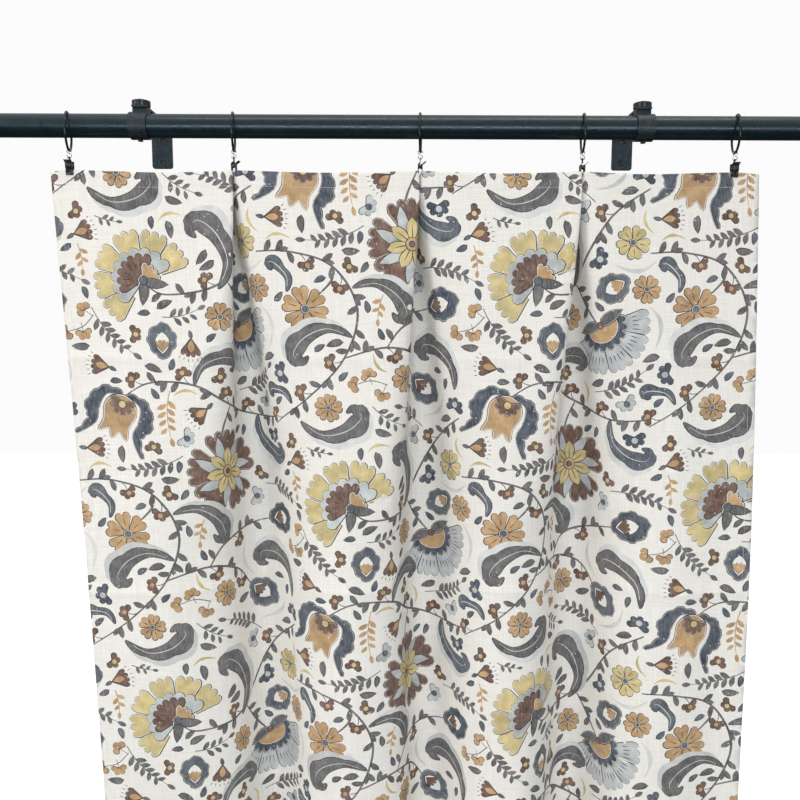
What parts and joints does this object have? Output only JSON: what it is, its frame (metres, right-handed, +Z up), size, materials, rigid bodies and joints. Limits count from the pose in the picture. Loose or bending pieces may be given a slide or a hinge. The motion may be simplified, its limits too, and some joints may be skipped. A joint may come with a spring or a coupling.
{
  "type": "shower curtain",
  "caption": "Printed linen-look curtain panel held by sprung clips on wire rings, sliding on a black rod in two wall brackets with slotted arms.",
  "frame": {"origin": "on the wall, midway between the two brackets, level with the rod's axis", "axes": "+X along the rod to the right, +Y towards the wall, +Z up"},
  "size_m": [1.244, 0.1271, 1.9263],
  "materials": {
    "satin_black_steel": "satin black powder coat",
    "cast_black_zinc": "matte black enamel on cast zinc",
    "black_fasteners": "black oxide screws",
    "black_wire": "gloss black lacquered wire",
    "clip_steel": "gunmetal plated pressed steel",
    "link_steel": "nickel plated spring wire",
    "printed_linen": "off-white linen-look weave with a printed trailing floral in charcoal, navy, brown, ochre and grey"
  },
  "bodies": {
    "wall_brackets": {"bracket_left": "satin_black_steel", "bracket_right": "satin_black_steel", "wall_screw_lower_left": "black_fasteners", "wall_screw_lower_right": "black_fasteners", "wall_screw_upper_left": "black_fasteners", "wall_screw_upper_right": "black_fasteners"},
    "rod_carrier": {"rod": "satin_black_steel", "end_cap_left": "cast_black_zinc", "end_cap_right": "cast_black_zinc", "cup_left": "cast_black_zinc", "cup_right": "cast_black_zinc", "clamp_stud_left": "black_fasteners", "clamp_stud_right": "black_fasteners", "grub_screw_left": "black_fasteners", "grub_screw_right": "black_fasteners"},
    "knob_left": {"knob_left": "cast_black_zinc"},
    "knob_right": {"knob_right": "cast_black_zinc"},
    "ring_1": {"ring_1": "black_wire"},
    "clip_1": {"link_1": "link_steel", "jaw_back_1": "clip_steel", "pin_1": "link_steel", "spring_1": "link_steel", "curtain_panel": "printed_linen"},
    "jaw_1": {"jaw_front_1": "clip_steel"},
    "ring_2": {"ring_2": "black_wire"},
    "clip_2": {"link_2": "link_steel", "jaw_back_2": "clip_steel", "pin_2": "link_steel", "spring_2": "link_steel"},
    "jaw_2": {"jaw_front_2": "clip_steel"},
    "ring_3": {"ring_3": "black_wire"},
    "clip_3": {"link_3": "link_steel", "jaw_back_3": "clip_steel", "pin_3": "link_steel", "spring_3": "link_steel"},
    "jaw_3": {"jaw_front_3": "clip_steel"},
    "ring_4": {"ring_4": "black_wire"},
    "clip_4": {"link_4": "link_steel", "jaw_back_4": "clip_steel", "pin_4": "link_steel", "spring_4": "link_steel"},
    "jaw_4": {"jaw_front_4": "clip_steel"},
    "ring_5": {"ring_5": "black_wire"},
    "clip_5": {"link_5": "link_steel", "jaw_back_5": "clip_steel", "pin_5": "link_steel", "spring_5": "link_steel"},
    "jaw_5": {"jaw_front_5": "clip_steel"}
  },
  "joints": [
    {"name": "rod_depth", "type": "slide", "parent": "wall_brackets", "child": "rod_carrier", "axis": [0, 1, 0], "range_m": [-0.003, 0.028]},
    {"name": "knob_left_turn", "type": "hinge", "parent": "rod_carrier", "child": "knob_left", "pos_m": [-0.35, -0.092, 0.0313], "axis": [0, 0, 1], "continuous": true},
    {"name": "knob_right_turn", "type": "hinge", "parent": "rod_carrier", "child": "knob_right", "pos_m": [0.35, -0.092, 0.0313], "axis": [0, 0, 1], "continuous": true},
    {"name": "curtain_slide", "type": "slide", "parent": "rod_carrier", "child": "ring_1", "axis": [1, 0, 0], "range_m": [-0.02, 0.045]},
    {"name": "curtain_gather", "type": "slide", "parent": "ring_1", "child": "ring_5", "axis": [1, 0, 0], "range_m": [-0.08, 0], "deforming": ["curtain_panel"]},
    {"name": "ring_2_slide", "type": "slide", "parent": "ring_1", "child": "ring_2", "axis": [1, 0, 0], "range_m": [-0.0202, 0]},
    {"name": "ring_3_slide", "type": "slide", "parent": "ring_1", "child": "ring_3", "axis": [1, 0, 0], "range_m": [-0.04256, 0]},
    {"name": "ring_4_slide", "type": "slide", "parent": "ring_1", "child": "ring_4", "axis": [1, 0, 0], "range_m": [-0.06209, 0]},
    {"name": "clip_1_swing", "type": "hinge", "parent": "ring_1", "child": "clip_1", "pos_m": [-0.45, -0.1, -0.0333], "axis": [-1, 0, 0], "range_deg": [-1, 20]},
    {"name": "clip_2_swing", "type": "hinge", "parent": "ring_2", "child": "clip_2", "pos_m": [-0.221, -0.1, -0.0333], "axis": [-1, 0, 0], "range_deg": [-1, 20]},
    {"name": "clip_3_swing", "type": "hinge", "parent": "ring_3", "child": "clip_3", "pos_m": [0.039, -0.1, -0.0333], "axis": [-1, 0, 0], "range_deg": [-1, 20]},
    {"name": "clip_4_swing", "type": "hinge", "parent": "ring_4", "child": "clip_4", "pos_m": [0.266, -0.1, -0.0333], "axis": [-1, 0, 0], "range_deg": [-1, 20]},
    {"name": "clip_5_swing", "type": "hinge", "parent": "ring_5", "child": "clip_5", "pos_m": [0.48, -0.1, -0.0333], "axis": [-1, 0, 0], "range_deg": [-1, 20]},
    {"name": "jaw_1_open", "type": "hinge", "parent": "clip_1", "child": "jaw_1", "pos_m": [-0.45, -0.1, -0.0534], "axis": [-1, 0, 0], "range_deg": [0, 20], "stiffness_Nm_per_rad": 0.05, "springref_deg": -11.46},
    {"name": "jaw_2_open", "type": "hinge", "parent": "clip_2", "child": "jaw_2", "pos_m": [-0.221, -0.1, -0.0534], "axis": [0, -1, 0], "range_deg": [0, 20], "stiffness_Nm_per_rad": 0.05, "springref_deg": -11.46},
    {"name": "jaw_3_open", "type": "hinge", "parent": "clip_3", "child": "jaw_3", "pos_m": [0.039, -0.1, -0.0534], "axis": [0, -1, 0], "range_deg": [0, 20], "stiffness_Nm_per_rad": 0.05, "springref_deg": -11.46},
    {"name": "jaw_4_open", "type": "hinge", "parent": "clip_4", "child": "jaw_4", "pos_m": [0.266, -0.1, -0.0534], "axis": [0, -1, 0], "range_deg": [0, 20], "stiffness_Nm_per_rad": 0.05, "springref_deg": -11.46},
    {"name": "jaw_5_open", "type": "hinge", "parent": "clip_5", "child": "jaw_5", "pos_m": [0.48, -0.1, -0.0534], "axis": [-1, 0, 0], "range_deg": [0, 20], "stiffness_Nm_per_rad": 0.05, "springref_deg": -11.46}
  ],
  "couplings": [
    {"joint": "ring_2_slide", "follows": "curtain_gather", "ratio": 0.24624},
    {"joint": "ring_3_slide", "follows": "curtain_gather", "ratio": 0.52581},
    {"joint": "ring_4_slide", "follows": "curtain_gather", "ratio": 0.76989},
    {"joint": "clip_2_swing", "follows": "clip_1_swing", "ratio": 1},
    {"joint": "clip_3_swing", "follows": "clip_1_swing", "ratio": 1},
    {"joint": "clip_4_swing", "follows": "clip_1_swing", "ratio": 1},
    {"joint": "clip_5_swing", "follows": "clip_1_swing", "ratio": 1}
  ]
}
